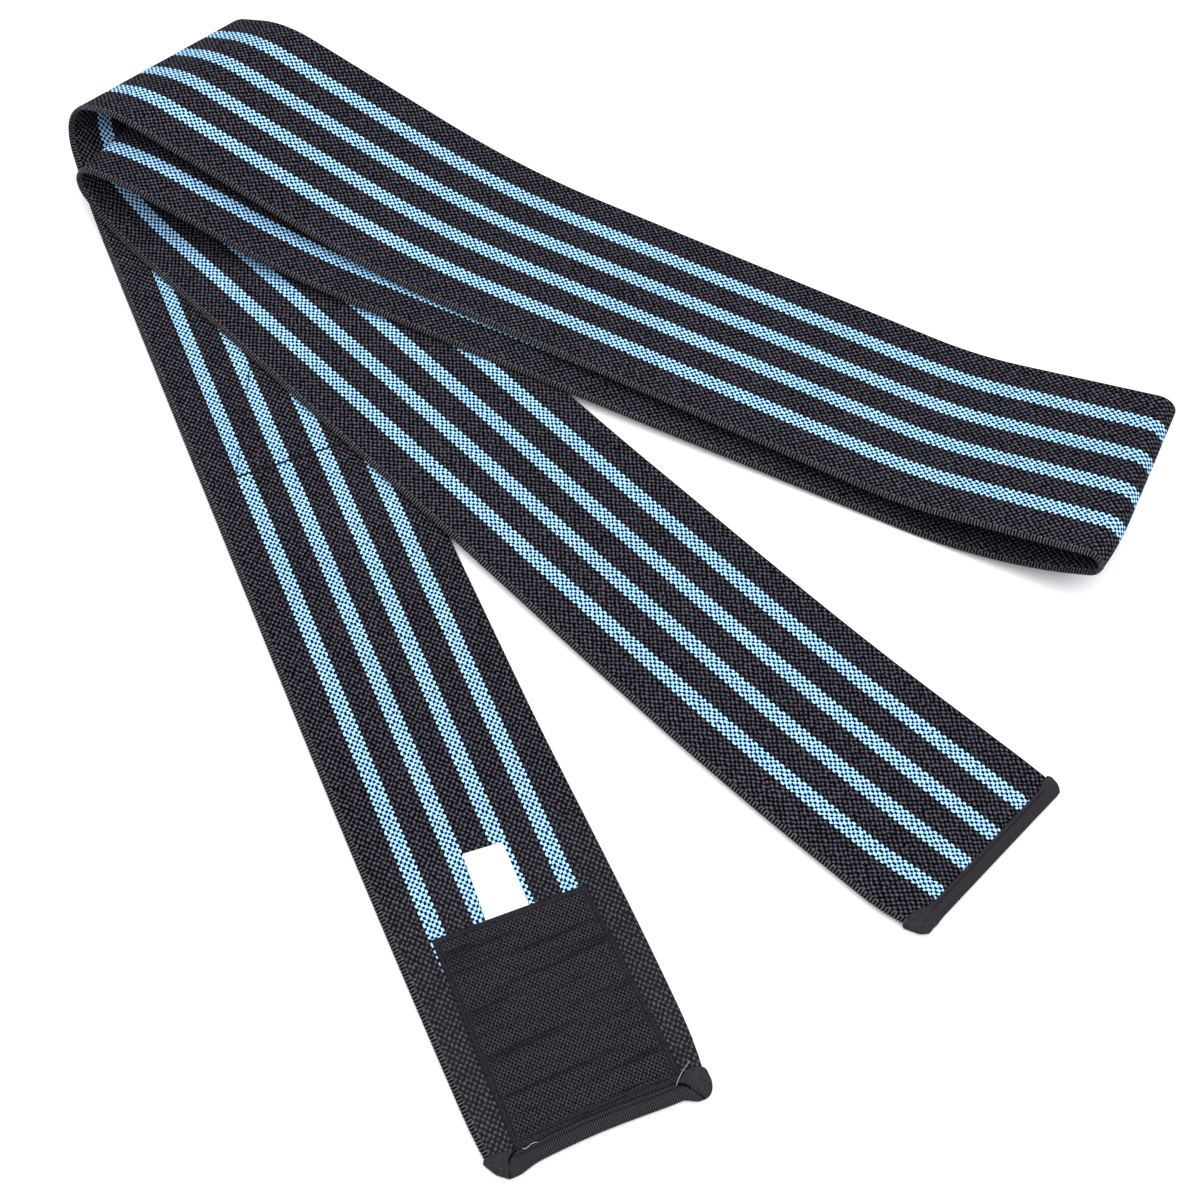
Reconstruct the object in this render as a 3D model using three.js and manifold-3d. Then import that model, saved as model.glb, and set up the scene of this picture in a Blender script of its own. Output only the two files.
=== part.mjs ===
// Elastic knee wrap laid loosely in four runs, with a hook panel, a loop panel, a label and two bound ends
import * as THREE from "three";
import initManifold from "manifold-3d";

const manifold = await initManifold();
manifold.setup();

// Webbing, mm
const BAND_LENGTH = 1894;
const BAND_WIDTH = 80;
const BAND_THICKNESS = 1.6;
const SELVEDGE_WIDTH = 0.7;
const SELVEDGE_THICKNESS = 0.9;

// Sewing draws the fastener run in on its ribbed side, spreads it under the hook panel on its plain side,
// and gathers both sides at the bound ends; each fades out along the band
const DRAW_FADE = 200;
const SPREAD = { at: 40, reach: 110 };
const GATHER_FADE = 20;
const RIBBED_SIDE = { draw: 2.4, spread: 0, gatherFastener: 1, gatherPlain: 2 };
const PLAIN_SIDE = { draw: 0, spread: 1.8, gatherFastener: 1.6, gatherPlain: 0.4 };
const FASTENER_STATIONS = [0, 5, 10, 16, 25, 40, 60, 80, 110, 150, 200];
const PLAIN_STATIONS = [25, 18, 12, 5, 0];

// How far the two cut ends lean off square, degrees
const END_LEAN = { fastener: 1.7, plain: -2.9 };

// Gap kept between sewn pieces, and the tape and panels sewn on
const SEAT_GAP = 0.3;
const TAPE_THICKNESS = 1.2;
const TAPE_DEPTH = 5;
const TAPE_EAR = 1.6;
const HOOK_PANEL = {
  from: 5.4,
  to: 79.7,
  ribbedSide: 24.4,
  plainSide: 29,
  ribbedFlare: 2,
  plainFlare: 3.6,
  slant: 3.4,
  lowSlant: END_LEAN.fastener,
  thickness: 1.4,
  corner: 1.5,
};
const LOOP_PANEL = { from: 285.5, to: 408, ribbedSide: 28, plainSide: 28, lowSlant: 2.9, thickness: 1.2, corner: 1.5 };
const LABEL = { length: 24.8, ribbedSide: 5.2, plainSide: 10, thickness: 0.4, corner: 0.4 };
const PANEL_BEVEL = 0.35;

// Where the fastener end lies on the table before centring, and which way its run heads
const START = { x: -0.7, y: -198.7, heading: 114.26 };
const START_LEVEL = BAND_THICKNESS / 2 + SEAT_GAP + TAPE_THICKNESS;

// Bends in order from the fastener end. lead: straight length before the bend; skew: crease off square;
// turn: degrees, plus toward the hook panel's face; "over" rows roll the band, the "side" row curves it flat
const BENDS = [
  { name: "back loop rise", kind: "over", lead: 434.6, skew: -24.5, turn: 34.3, radius: 58.3 },
  { name: "back loop turn", kind: "over", lead: 6, skew: -18.1, turn: 125.2, radius: 13 },
  { name: "back loop close", kind: "over", lead: 5.5, skew: -24, turn: 37.5, radius: 36.5 },
  { name: "top run landing", kind: "over", lead: 70.3, skew: -18.8, turn: -16.7, radius: 250 },
  { name: "right fold lift", kind: "over", lead: 168.5, skew: 1.4, turn: -15.5, radius: 140 },
  { name: "right fold turn", kind: "over", lead: 55.5, skew: 1.4, turn: 168.8, radius: 6 },
  { name: "right fold ease", kind: "over", lead: 6, skew: 1.4, turn: 28.4, radius: 145 },
  { name: "left fold climb", kind: "over", lead: 241.7, skew: 9.8, turn: 13.7, radius: 230 },
  { name: "left fold crest", kind: "over", lead: 36, skew: 9.8, turn: -19.4, radius: 80 },
  { name: "left fold turn", kind: "over", lead: 0, skew: 9.8, turn: -143.3, radius: 8 },
  { name: "left fold landing", kind: "over", lead: 0, skew: 9.8, turn: -32.7, radius: 60 },
  { name: "step off lower run", kind: "over", lead: 165, skew: 38, turn: 2, radius: 400 },
  { name: "step onto table", kind: "over", lead: 60, skew: 38, turn: -2, radius: 400 },
  { name: "plain end curve", kind: "side", lead: 45, skew: 0, turn: -3, radius: 1500 },
];
const ARC_STEP = 9;

const rad = THREE.MathUtils.degToRad;

// Each bend with its place on the flat band and the transform of the straight run that comes before it
function layOutBends() {
  const run = new THREE.Matrix4().makeRotationZ(rad(START.heading)).setPosition(START.x, START.y, START_LEVEL);
  const bends = [];
  let station = 0;
  for (const row of BENDS) {
    const turn = rad(row.turn);
    const skew = rad(row.skew);
    const side = Math.sign(turn);
    const arc = Math.abs(turn) * row.radius;
    const from = station + row.lead;
    const to = from + arc / Math.cos(skew);
    const toCrease = new THREE.Matrix4().makeRotationZ(skew).multiply(new THREE.Matrix4().makeTranslation(-from, 0, 0));
    const fromCrease = toCrease.clone().invert();
    const forward = row.radius * Math.sin(Math.abs(turn));
    const aside = side * row.radius * (1 - Math.cos(turn));
    const spin = new THREE.Matrix4();
    if (row.kind === "over") {
      spin.makeRotationY(-turn).setPosition(forward, 0, aside);
    } else {
      spin.makeRotationZ(turn).setPosition(forward, aside, 0);
    }
    spin.multiply(new THREE.Matrix4().makeTranslation(-arc, 0, 0));
    bends.push({ ...row, side, arc, from, to, toCrease, fromCrease, before: run.clone() });
    run.multiply(fromCrease).multiply(spin).multiply(toCrease);
    station = to;
  }
  return { bends, last: run };
}

const { bends: LAID_BENDS, last: LAST_RUN } = layOutBends();

// Point of the laid band at a distance along, a distance across and a height off its middle surface
function place(along, across, height) {
  const flat = new THREE.Vector3(along, across, 0);
  const normal = new THREE.Vector3(0, 0, 1);
  for (const bend of LAID_BENDS) {
    const local = flat.clone().applyMatrix4(bend.toCrease);
    if (local.x <= 0) {
      return flat.applyMatrix4(bend.before).addScaledVector(normal.transformDirection(bend.before), height);
    }
    if (local.x < bend.arc) {
      const angle = local.x / bend.radius;
      const bent = new THREE.Vector3();
      if (bend.kind === "over") {
        bent.set(bend.radius * Math.sin(angle), local.y, bend.side * bend.radius * (1 - Math.cos(angle)));
        normal.set(-bend.side * Math.sin(angle), 0, Math.cos(angle));
      } else {
        const reach = bend.radius - bend.side * local.y;
        bent.set(reach * Math.sin(angle), bend.side * (bend.radius - reach * Math.cos(angle)), 0);
      }
      const toWorld = bend.before.clone().multiply(bend.fromCrease);
      return bent.applyMatrix4(toWorld).addScaledVector(normal.transformDirection(toWorld), height);
    }
  }
  return flat.applyMatrix4(LAST_RUN).addScaledVector(normal.transformDirection(LAST_RUN), height);
}

// Closed mesh through rings of points, with fan caps at both ends
function loft(rings) {
  const count = rings[0].length;
  const positions = rings.flat().flatMap((p) => [p.x, p.y, p.z]);
  const faces = [];
  for (let i = 0; i + 1 < rings.length; i++) {
    for (let j = 0; j < count; j++) {
      const a = i * count + j;
      const b = i * count + ((j + 1) % count);
      faces.push(a, b, b + count, a, b + count, a + count);
    }
  }
  const end = (rings.length - 1) * count;
  for (let j = 1; j + 1 < count; j++) {
    faces.push(0, j + 1, j, end, end + j, end + j + 1);
  }
  return facedOut(positions, faces);
}

// Indexed geometry whose faces all point out of the solid
function facedOut(positions, faces) {
  const at = (i) => new THREE.Vector3(positions[3 * i], positions[3 * i + 1], positions[3 * i + 2]);
  let volume = 0;
  for (let i = 0; i < faces.length; i += 3) {
    volume += at(faces[i]).dot(at(faces[i + 1]).cross(at(faces[i + 2])));
  }
  if (volume < 0) faces.reverse();
  const geometry = new THREE.BufferGeometry();
  geometry.setAttribute("position", new THREE.Float32BufferAttribute(positions, 3));
  geometry.setIndex(faces);
  return geometry;
}

// Smooth share of a draw that is full up to a distance and has faded out after a further reach
function fading(distance, full, reach) {
  const share = Math.min(1, Math.max(0, 1 - (distance - full) / reach));
  return share * share;
}

// Half width on one side of the centre line
function halfWidth(along, side) {
  const offset = (along - SPREAD.at) / SPREAD.reach;
  const spread = Math.max(0, 1 - offset * offset) ** 2;
  return BAND_WIDTH / 2
    - side.draw * fading(along, 0, DRAW_FADE)
    + side.spread * spread
    - side.gatherFastener * fading(along, TAPE_DEPTH, GATHER_FADE)
    - side.gatherPlain * fading(BAND_LENGTH - along, TAPE_DEPTH, GATHER_FADE);
}

// Stations of the band's sections: the fastener run, every step of every bend, and the plain end
function bandSections() {
  const sections = FASTENER_STATIONS.map((along) => ({ along, skew: along > TAPE_DEPTH ? 0 : rad(END_LEAN.fastener) }));
  for (const bend of LAID_BENDS) {
    const steps = Math.max(4, Math.ceil(Math.abs(bend.turn) / ARC_STEP));
    for (let i = 0; i <= steps; i++) {
      const along = bend.from + ((bend.to - bend.from) * i) / steps;
      const last = sections[sections.length - 1];
      if (along - last.along > 0.01) sections.push({ along, skew: rad(bend.skew) });
    }
  }
  for (const back of PLAIN_STATIONS) {
    sections.push({ along: BAND_LENGTH - back, skew: back > TAPE_DEPTH ? 0 : rad(END_LEAN.plain) });
  }
  return sections;
}

function bandGeometry() {
  const face = BAND_THICKNESS / 2;
  const edge = SELVEDGE_THICKNESS / 2;
  const rings = bandSections().map(({ along, skew }) => {
    const ribbed = halfWidth(along, RIBBED_SIDE);
    const plain = -halfWidth(along, PLAIN_SIDE);
    const outline = [
      [plain + SELVEDGE_WIDTH, face],
      [ribbed - SELVEDGE_WIDTH, face],
      [ribbed, edge],
      [ribbed, -edge],
      [ribbed - SELVEDGE_WIDTH, -face],
      [plain + SELVEDGE_WIDTH, -face],
      [plain, -edge],
      [plain, edge],
    ];
    return outline.map(([across, height]) => place(along + across * Math.tan(skew), across, height));
  });
  return loft(rings);
}

// Corner points of a panel lying on the band, clipped at each corner; its low edge may flare
function panelOutline(panel, inset) {
  const lean = Math.tan(rad(panel.slant ?? 0));
  const lowLean = Math.tan(rad(panel.lowSlant ?? 0));
  const low = panel.from + inset;
  const high = panel.to - inset;
  const left = panel.ribbedSide - inset;
  const right = -panel.plainSide + inset;
  const lowLeft = left + (panel.ribbedFlare ?? 0);
  const lowRight = right - (panel.plainFlare ?? 0);
  const c = panel.corner;
  return [
    [low + c + lowLeft * lowLean, lowLeft],
    [high - c + left * lean, left],
    [high + (left - c) * lean, left - c],
    [high + (right + c) * lean, right + c],
    [high - c + right * lean, right],
    [low + c + lowRight * lowLean, lowRight],
    [low + (lowRight + c) * lowLean, lowRight + c],
    [low + (lowLeft - c) * lowLean, lowLeft - c],
  ];
}

// Flat panel over one face of the band, its free face bevelled; side is +1 for the hook panel's face
function panelGeometry(panel, side) {
  const seat = BAND_THICKNESS / 2 + SEAT_GAP;
  const bevel = Math.min(PANEL_BEVEL, panel.thickness / 2);
  const levels = [
    { height: seat, inset: 0 },
    { height: seat + panel.thickness - bevel, inset: 0 },
    { height: seat + panel.thickness, inset: bevel },
  ];
  return loft(levels.map(({ height, inset }) =>
    panelOutline(panel, inset).map(([along, across]) => place(along, across, side * height))));
}

function toManifold(geometry) {
  return new manifold.Manifold(new manifold.Mesh({
    numProp: 3,
    vertProperties: new Float32Array(geometry.attributes.position.array),
    triVerts: new Uint32Array(geometry.index.array),
  }));
}

// What is left of one closed mesh after another is taken away
function cut(solid, tool) {
  const mesh = manifold.Manifold.difference(toManifold(solid), toManifold(tool)).getMesh();
  return facedOut(Array.from(mesh.vertProperties), Array.from(mesh.triVerts));
}

// Tape folded over one end: a rounded nose, two arms and closed ears past both selvedges
function bindingGeometry(end, inward, lean) {
  const slope = Math.tan(rad(lean));
  const half = BAND_THICKNESS / 2 + SEAT_GAP;
  const full = half + TAPE_THICKNESS;
  const nose = -SEAT_GAP - TAPE_THICKNESS;
  const ribbed = halfWidth(end, RIBBED_SIDE);
  const plain = halfWidth(end, PLAIN_SIDE);
  const profile = [
    [TAPE_DEPTH, full - 0.3],
    [TAPE_DEPTH - 0.3, full],
    [0.6, full],
    [-0.8, full * 0.72],
    [nose, full * 0.28],
    [nose, -full * 0.28],
    [-0.8, -full * 0.72],
    [0.6, -full],
    [TAPE_DEPTH - 0.3, -full],
    [TAPE_DEPTH, -full + 0.3],
  ];
  const middle = (TAPE_DEPTH + nose) / 2;
  const earSteps = [
    { out: TAPE_EAR, size: 0.45 },
    { out: TAPE_EAR - 0.3, size: 0.72 },
    { out: TAPE_EAR - 0.8, size: 0.94 },
    { out: SEAT_GAP, size: 1 },
  ];
  const stations = [
    ...earSteps.map(({ out, size }) => ({ across: -plain - out, size })),
    ...earSteps.map(({ out, size }) => ({ across: ribbed + out, size })).reverse(),
  ];
  const outer = loft(stations.map(({ across, size }) => profile.map(([along, height]) =>
    place(end + across * slope + inward * (middle + (along - middle) * size), across, height * size))));
  const slot = loft([-plain - SEAT_GAP, ribbed + SEAT_GAP].map((across) => [
    [-SEAT_GAP, half],
    [TAPE_DEPTH + 5, half],
    [TAPE_DEPTH + 5, -half],
    [-SEAT_GAP, -half],
  ].map(([along, height]) => place(end + across * slope + inward * along, across, height))));
  return cut(outer, slot);
}

const labelLow = HOOK_PANEL.to + SEAT_GAP + LABEL.ribbedSide * Math.tan(rad(HOOK_PANEL.slant));
const label = { ...LABEL, from: labelLow, to: labelLow + LABEL.length };

const FABRIC = { roughness: 0.95, metalness: 0 };
const pieces = [
  ["band", bandGeometry(), { color: "#2d2a31", ...FABRIC }],
  ["hook_panel", panelGeometry(HOOK_PANEL, 1), { color: "#232029", ...FABRIC }],
  ["loop_panel", panelGeometry(LOOP_PANEL, -1), { color: "#26232b", ...FABRIC }],
  ["end_binding_fastener", bindingGeometry(0, 1, END_LEAN.fastener), { color: "#3e3a40", ...FABRIC }],
  ["end_binding_plain", bindingGeometry(BAND_LENGTH, -1, END_LEAN.plain), { color: "#3e3a40", ...FABRIC }],
  ["care_label", panelGeometry(label, 1), { color: "#f4f4f6", roughness: 0.7, metalness: 0 }],
];

// Stand the whole on the table, centred in plan
const box = new THREE.Box3();
for (const [, geometry] of pieces) {
  geometry.computeBoundingBox();
  box.union(geometry.boundingBox);
}
const centre = box.getCenter(new THREE.Vector3());

const group = new THREE.Group();
group.name = "knee_wrap";
for (const [name, geometry, look] of pieces) {
  geometry.translate(-centre.x, -centre.y, -box.min.z);
  const mesh = new THREE.Mesh(geometry, new THREE.MeshStandardMaterial(look));
  mesh.name = name;
  group.add(mesh);
}

export default group;
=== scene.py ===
import math

import bmesh
import bpy
import numpy as np
from mathutils import Matrix, Vector


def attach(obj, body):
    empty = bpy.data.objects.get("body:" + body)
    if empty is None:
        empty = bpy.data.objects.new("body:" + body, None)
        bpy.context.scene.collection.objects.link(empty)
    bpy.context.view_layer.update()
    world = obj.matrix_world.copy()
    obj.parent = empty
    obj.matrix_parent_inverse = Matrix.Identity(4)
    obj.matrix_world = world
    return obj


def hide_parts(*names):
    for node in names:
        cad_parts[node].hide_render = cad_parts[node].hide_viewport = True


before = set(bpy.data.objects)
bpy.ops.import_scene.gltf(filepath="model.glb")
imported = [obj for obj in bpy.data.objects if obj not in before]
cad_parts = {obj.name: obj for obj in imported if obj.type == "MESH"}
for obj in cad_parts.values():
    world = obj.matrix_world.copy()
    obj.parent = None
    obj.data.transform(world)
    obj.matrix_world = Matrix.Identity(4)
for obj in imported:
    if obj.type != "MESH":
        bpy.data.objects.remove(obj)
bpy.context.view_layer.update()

# Camera
# A viewer stands at the fastener end and looks steeply down on the wrap.
AIM = Vector((0.0023, -0.0295, 0.0))
VIEW_DISTANCE = 0.6664
VIEW_PITCH = math.radians(61.2)
LENS = 52.5
SENSOR = 36.0

camera_data = bpy.data.cameras.new("viewer")
camera_data.lens = LENS
camera_data.sensor_width = SENSOR
camera = bpy.data.objects.new("viewer", camera_data)
camera.location = AIM + VIEW_DISTANCE * Vector((0.0, -math.cos(VIEW_PITCH), math.sin(VIEW_PITCH)))
camera.rotation_euler = (math.pi / 2 - VIEW_PITCH, 0.0, 0.0)
bpy.context.scene.collection.objects.link(camera)
bpy.context.scene.camera = camera

# Webbing band
# One strip of coarse woven elastic, charcoal with four light blue stripes on both faces.
# It was dropped in four loose runs, joined by a tall back loop, a lifted right fold and a left fold.
BAND_LENGTH = 1.894
BAND_WIDTH = 0.080
BAND_THICKNESS = 0.0016
SELVEDGE_WIDTH = 0.0007
RIBBED_SELVEDGE_WIDTH = 0.0023
TAPE_THICKNESS = 0.0012
SEAT_GAP = 0.0003
START = Vector((0.0016, -0.2282, BAND_THICKNESS / 2 + SEAT_GAP + TAPE_THICKNESS))
START_HEADING = math.radians(114.26)
FASTENER_LEAN = math.radians(1.7)
PLAIN_LEAN = math.radians(-2.9)
TAPE_DEPTH = 0.0043
DRAW_FADE = 0.200
SPREAD_AT = 0.040
SPREAD_REACH = 0.110
GATHER_FADE = 0.020
FASTENER_BOW = 0.0010
FASTENER_BOW_REACH = 0.030
FASTENER_BOW_FADE = 0.030
RIBBED_SIDE = {"draw": 0.0024, "spread": 0.0, "fastener": 0.0010, "plain": 0.0028, "corner": 0.0048}
PLAIN_SIDE = {"draw": 0.0, "spread": 0.0018, "fastener": 0.0016, "plain": 0.0004, "corner": 0.0012}
# Each bend: kind, straight lead before it, skew of its crease, turn towards the hook panel's face, radius
BENDS = [
    ("over", 0.4346, -24.5, 34.3, 0.0583),
    ("over", 0.0060, -18.1, 125.2, 0.0130),
    ("over", 0.0055, -24.0, 37.5, 0.0365),
    ("over", 0.0703, -18.8, -16.7, 0.2500),
    ("over", 0.1685, 1.4, -15.5, 0.1400),
    ("over", 0.0555, 1.4, 168.8, 0.0060),
    ("over", 0.0060, 1.4, 28.4, 0.1450),
    ("over", 0.2417, 9.8, 13.7, 0.2300),
    ("over", 0.0360, 9.8, -19.4, 0.0800),
    ("over", 0.0000, 9.8, -143.3, 0.0080),
    ("over", 0.0000, 9.8, -32.7, 0.0600),
    ("over", 0.1650, 38.0, 2.0, 0.4000),
    ("over", 0.0600, 38.0, -2.0, 0.4000),
    ("side", 0.0450, 0.0, -3.0, 1.5000),
]
# The right fold is the bend at this place in the list; its nose is pulled back at the ribbed edge
RIGHT_FOLD = 5
FOLD_PULL = 0.0026
FOLD_PULL_FROM = 0.016
FOLD_PULL_REACH = 0.016
# The stripes are counted from the ribbed edge; near the plain end the sewing draws them in, away from it
STRIPE_COUNT = 4
STRIPE_FIRST = 0.02335
STRIPE_PITCH = 0.0162
STRIPE_HALF_WIDTH = 0.00275
STRIPE_SCALLOP = 0.00068
STRIPE_SOFTNESS = 0.00009
STRIPE_START = (0.066, 0.078)
STRIPE_GATHER = 0.0028
GATHER_ALONG = (BAND_LENGTH - 0.036, BAND_LENGTH - 0.004)
GATHER_ACROSS = (-0.010, 0.034)
WEAVE_REPEAT = 0.00247
WEAVE_ROW = STRIPE_PITCH / 15
WEAVE_DEPTH = 0.0003
WANDER_SIZE = 0.0032
WANDER_REACH = 0.0022
FIBRE_SIZE = 0.0011
PATCH_SIZE = 0.030
WEAR = 0.3
# Each edge: the height in the weave where a tone starts and where it is full
# The fleck tone lightens the charcoal thread crowns, partly the yarn's own tone and partly a painted
# highlight for thread glints
FLECK_AND_GLINT_EDGE = (-0.05, 1.15)
PIT_EDGE = (0.10, -0.14)
CROWN_EDGE = (-0.24, 0.12)
HOLE_EDGE = (0.075, -0.07)
FRAY = 2.0
# The webbing is duller near the sewn fastener end, and painted near black as shade under the rib loops, by
# distance off the ribbed edge
SEWN_ALONG = (0.130, 0.040)
SEWN_SHARE = 0.3
RIB_PAINTED_SHADE_EDGE = (0.0020, 0.0013)
CLOTH_SPECULAR = 0.06
SHEEN_ROUGHNESS = 0.5
SECTION_STEP = 0.006
SECTION_TURN = math.radians(4)
FACE_STEPS = 24
EDGE_STEPS = 6
MAP_ROWS = 4
MAP_MARGIN = 0.01


def lay_out_bends():
    """Every bend with its place on the flat strip and the transform of the straight run before it."""
    run = Matrix.Translation(START) @ Matrix.Rotation(START_HEADING, 4, "Z")
    laid = []
    station = 0.0
    for kind, lead, skew, turn, radius in BENDS:
        turn = math.radians(turn)
        skew = math.radians(skew)
        side = math.copysign(1.0, turn)
        arc = abs(turn) * radius
        begin = station + lead
        station = begin + arc / math.cos(skew)
        to_crease = Matrix.Rotation(skew, 4, "Z") @ Matrix.Translation((-begin, 0, 0))
        forward = radius * math.sin(abs(turn))
        aside = side * radius * (1 - math.cos(turn))
        if kind == "over":
            spin = Matrix.Translation((forward, 0, aside)) @ Matrix.Rotation(-turn, 4, "Y")
        else:
            spin = Matrix.Translation((forward, aside, 0)) @ Matrix.Rotation(turn, 4, "Z")
        laid.append({"kind": kind, "side": side, "arc": arc, "radius": radius, "skew": skew, "turn": turn,
                     "begin": begin, "end": station, "to_crease": np.array(to_crease),
                     "from_crease": np.array(to_crease.inverted()), "before": np.array(run)})
        run = run @ to_crease.inverted() @ spin @ Matrix.Translation((-arc, 0, 0)) @ to_crease
    return laid, np.array(run)


LAID_BENDS, LAST_RUN = lay_out_bends()


def lay(along, across, height):
    """Points of the laid band, from distances along it, across it and off its middle surface."""
    along, across, height = np.broadcast_arrays(*(np.asarray(v, float) for v in (along, across, height)))
    shape = along.shape
    flat = np.stack([along.ravel(), across.ravel(), np.zeros(along.size), np.ones(along.size)])
    lift = height.ravel()
    points = np.zeros((3, along.size))
    waiting = np.ones(along.size, bool)

    def settle(chosen, world, local, normal):
        points[:, chosen] = (world @ local)[:3] + lift[chosen] * (world[:3, :3] @ normal)

    up = np.array([[0.0], [0.0], [1.0]])
    for bend in LAID_BENDS:
        local = bend["to_crease"] @ flat
        straight = waiting & (local[0] <= 0)
        settle(straight, bend["before"], flat[:, straight], up)
        curved = waiting & (local[0] > 0) & (local[0] < bend["arc"])
        angle = local[0, curved] / bend["radius"]
        side = bend["side"]
        bent = local[:, curved].copy()
        normal = np.repeat(up, angle.size, axis=1)
        if bend["kind"] == "over":
            bent[0] = bend["radius"] * np.sin(angle)
            bent[2] = side * bend["radius"] * (1 - np.cos(angle))
            normal[0] = -side * np.sin(angle)
            normal[2] = np.cos(angle)
        else:
            reach = bend["radius"] - side * local[1, curved]
            bent[0] = reach * np.sin(angle)
            bent[1] = side * (bend["radius"] - reach * np.cos(angle))
        settle(curved, bend["before"] @ bend["from_crease"], bent, normal)
        waiting &= local[0] >= bend["arc"]
    settle(waiting, LAST_RUN, flat[:, waiting], up)
    pulled = fold_pull(flat[0], flat[1])
    return (points - pulled * LAID_BENDS[RIGHT_FOLD]["before"][:3, :1]).T.reshape(*shape, 3)


def fold_pull(along, across):
    """How far the right fold's nose is pulled back; most at the ribbed edge, so that corner is round."""
    fold = LAID_BENDS[RIGHT_FOLD]
    nose = (fold["begin"] + fold["end"]) / 2 + across * math.tan(fold["skew"])
    edge_share = np.clip((across - FOLD_PULL_FROM) / (BAND_WIDTH / 2 - FOLD_PULL_FROM), 0, 1)
    return FOLD_PULL * edge_share ** 2 * np.exp(-((along - nose) / FOLD_PULL_REACH) ** 2)


def half_width(along, side):
    """Half the band's width on one side; sewing draws, spreads or gathers it and tucks its corners in."""
    along = np.asarray(along, float)
    drawn = np.clip(1 - along / DRAW_FADE, 0, 1) ** 2
    spread = np.clip(1 - ((along - SPREAD_AT) / SPREAD_REACH) ** 2, 0, 1) ** 2
    fastener = np.clip(1 - (along - TAPE_DEPTH) / GATHER_FADE, 0, 1) ** 2
    plain = np.clip(1 - (BAND_LENGTH - along - TAPE_DEPTH) / GATHER_FADE, 0, 1) ** 2
    from_end = np.minimum(along, BAND_LENGTH - along)
    tucked = np.clip(1 - from_end / TAPE_DEPTH, 0, 1)
    return (BAND_WIDTH / 2 - side["draw"] * drawn + side["spread"] * spread
            - side["fastener"] * fastener - side["plain"] * plain - side["corner"] * tucked)


def end_bow(across):
    """How far the fastener end is drawn in, most along its middle."""
    share = np.clip(1 - (np.asarray(across) / FASTENER_BOW_REACH) ** 2, 0, 1)
    return FASTENER_BOW * share ** 2


def band_sections():
    """Stations and skews of the band's cross sections, close together where it bends."""
    marks = [(0.0, FASTENER_LEAN, 0.0), (TAPE_DEPTH, FASTENER_LEAN, 0.0)]
    for bend in LAID_BENDS:
        marks += [(bend["begin"], bend["skew"], 0.0), (bend["end"], bend["skew"], abs(bend["turn"]))]
    marks += [(BAND_LENGTH - TAPE_DEPTH, PLAIN_LEAN, 0.0), (BAND_LENGTH, PLAIN_LEAN, 0.0)]
    stations = [0.0]
    skews = [FASTENER_LEAN]
    for before, after in zip(marks, marks[1:]):
        begin, skew_begin = before[:2]
        end, skew_end, turn = after
        steps = max(math.ceil((end - begin) / SECTION_STEP), math.ceil(turn / SECTION_TURN))
        for share in np.arange(1, steps + 1) / max(steps, 1):
            stations.append(begin + (end - begin) * share)
            skews.append(skew_begin + (skew_end - skew_begin) * share)
    return np.array(stations), np.array(skews)


def closed_rings(name, rings, attribute=None):
    """Closed mesh object through rings of points, capped at both ends, with faces out."""
    ring_count, count = rings.shape[:2]
    faces = []
    for i in range(ring_count - 1):
        for j in range(count):
            a = i * count + j
            b = i * count + (j + 1) % count
            faces.append((a, b, b + count, a + count))
    faces.append(tuple(reversed(range(count))))
    faces.append(tuple(range((ring_count - 1) * count, ring_count * count)))
    mesh = bpy.data.meshes.new(name)
    mesh.from_pydata(rings.reshape(-1, 3).tolist(), [], faces)
    if attribute is not None:
        layer = mesh.attributes.new("weave", "FLOAT_VECTOR", "POINT")
        layer.data.foreach_set("vector", attribute.astype(np.float32).ravel())
    face_out(mesh)
    piece = bpy.data.objects.new(name, mesh)
    bpy.context.scene.collection.objects.link(piece)
    return piece


def face_out(mesh):
    """Turns every face of a closed mesh outwards and shades it smooth."""
    form = bmesh.new()
    form.from_mesh(mesh)
    bmesh.ops.recalc_face_normals(form, faces=form.faces)
    for face in form.faces:
        face.smooth = True
    form.to_mesh(mesh)
    form.free()


def band_piece():
    """The band as one closed strip; its weave attribute holds along, across and off the ribbed edge."""
    stations, skews = band_sections()
    face = BAND_THICKNESS / 2
    ribbed = half_width(stations, RIBBED_SIDE)[:, None]
    plain = half_width(stations, PLAIN_SIDE)[:, None]
    share = np.linspace(0, 1, FACE_STEPS + 1)[None, :]
    upper = -(plain - SELVEDGE_WIDTH) + (ribbed + plain - RIBBED_SELVEDGE_WIDTH - SELVEDGE_WIDTH) * share
    arc = np.linspace(math.pi / 2, -math.pi / 2, EDGE_STEPS + 1)[1:-1][None, :]
    ribbed_edge = ribbed - RIBBED_SELVEDGE_WIDTH * (1 - np.cos(arc))
    plain_edge = -plain + SELVEDGE_WIDTH * (1 - np.cos(arc))
    across = np.hstack([upper, ribbed_edge, upper[:, ::-1], plain_edge[:, ::-1]])
    edge_height = face * np.sin(arc)
    level = np.full(FACE_STEPS + 1, face)
    height = np.hstack([level, edge_height[0], -level, edge_height[0, ::-1]])[None, :]
    drawn = np.clip(1 - stations / FASTENER_BOW_FADE, 0, 1)[:, None] ** 2
    along = stations[:, None] + across * np.tan(skews)[:, None] + end_bow(across) * drawn
    weave_place = np.stack([along, across, ribbed - across], axis=-1)
    piece = closed_rings("band_cloth", lay(along, across, height), weave_place)
    unroll_map(piece, stations, across.shape[1])
    return piece


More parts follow.
